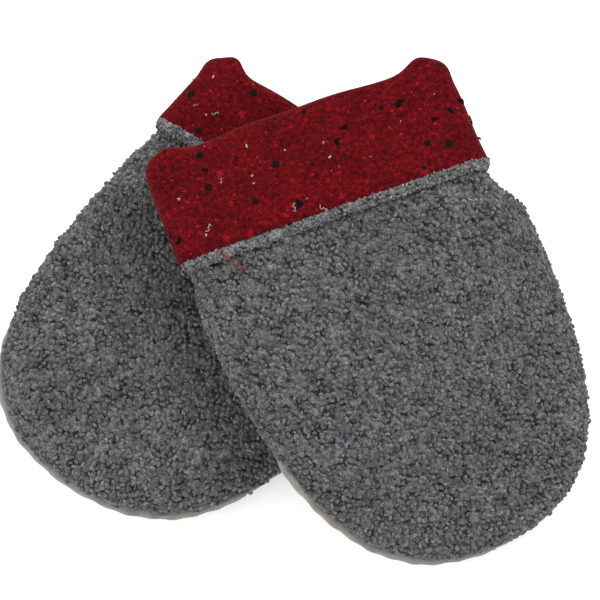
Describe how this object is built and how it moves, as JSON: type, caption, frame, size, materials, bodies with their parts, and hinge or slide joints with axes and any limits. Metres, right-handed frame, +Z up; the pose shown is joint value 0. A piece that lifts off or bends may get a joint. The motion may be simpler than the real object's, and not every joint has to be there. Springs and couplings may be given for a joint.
{
  "type": "pair of pouch mittens",
  "caption": "Pair of small thumbless pouch mittens, looped wool shell and tweed lining turned back as a deep cuff, one lying across the other.",
  "frame": {"origin": "on the surface, under the middle of the pair's footprint", "axes": "+X across the pair, towards the upper mitten's full side; +Y towards the cuffs; +Z up"},
  "size_m": [0.1842, 0.1531, 0.0483],
  "materials": {
    "boucle_shell": "looped grey heather wool, knobbly, matt",
    "tweed_lining": "dark red flecked wool tweed, matt",
    "shell_thread": "grey sewing thread",
    "lining_thread": "red sewing thread"
  },
  "bodies": {
    "lower_mitten": {"lower_back_shell": "boucle_shell", "lower_palm_shell": "boucle_shell", "lower_shell_seam": "shell_thread", "lower_back_lining": "tweed_lining", "lower_palm_lining": "tweed_lining", "lower_lining_seam": "lining_thread", "lower_back_fold": "tweed_lining", "lower_palm_fold": "tweed_lining"},
    "lower_back_cuff": {"lower_back_cuff_face": "tweed_lining", "lower_back_cuff_backing": "boucle_shell", "lower_back_cuff_stitch": "lining_thread", "lower_back_cuff_roll": "boucle_shell"},
    "lower_palm_cuff": {"lower_palm_cuff_face": "tweed_lining", "lower_palm_cuff_backing": "boucle_shell", "lower_palm_cuff_stitch": "lining_thread", "lower_palm_cuff_roll": "boucle_shell"},
    "upper_mitten": {"upper_back_shell": "boucle_shell", "upper_palm_shell": "boucle_shell", "upper_shell_seam": "shell_thread", "upper_back_lining": "tweed_lining", "upper_palm_lining": "tweed_lining", "upper_lining_seam": "lining_thread", "upper_back_fold": "tweed_lining", "upper_palm_fold": "tweed_lining"},
    "upper_back_cuff": {"upper_back_cuff_face": "tweed_lining", "upper_back_cuff_backing": "boucle_shell", "upper_back_cuff_stitch": "lining_thread", "upper_back_cuff_roll": "boucle_shell"},
    "upper_palm_cuff": {"upper_palm_cuff_face": "tweed_lining", "upper_palm_cuff_backing": "boucle_shell", "upper_palm_cuff_stitch": "lining_thread", "upper_palm_cuff_roll": "boucle_shell"}
  },
  "joints": [
    {"name": "upper_lift", "type": "slide", "parent": "lower_mitten", "child": "upper_mitten", "axis": [0, 0, 1], "range_m": [0, 0.25]},
    {"name": "upper_back_cuff_turn", "type": "hinge", "parent": "upper_mitten", "child": "upper_back_cuff", "pos_m": [0.00091, 0.05633, 0.04347], "axis": [-0.9391, -0.3418, 0.0349], "range_deg": [0, 170]},
    {"name": "upper_palm_cuff_turn", "type": "hinge", "parent": "upper_mitten", "child": "upper_palm_cuff", "pos_m": [0.00042, 0.05615, 0.02853], "axis": [0.9391, 0.3418, -0.0349], "range_deg": [0, 170]},
    {"name": "lower_back_cuff_turn", "type": "hinge", "parent": "lower_mitten", "child": "lower_back_cuff", "pos_m": [0.01388, 0.05331, 0.01852], "axis": [-0.848, 0.5299, 0], "range_deg": [0, 170]},
    {"name": "lower_palm_cuff_turn", "type": "hinge", "parent": "lower_mitten", "child": "lower_palm_cuff", "pos_m": [0.01388, 0.05331, 0.00358], "axis": [0.848, -0.5299, 0], "range_deg": [0, 170]}
  ],
  "couplings": [
    {"joint": "upper_palm_cuff_turn", "follows": "upper_lift", "rad_per_m": 11.8},
    {"joint": "lower_back_cuff_turn", "follows": "upper_lift", "rad_per_m": 11.8},
    {"joint": "lower_palm_cuff_turn", "follows": "upper_lift", "rad_per_m": 11.8}
  ]
}
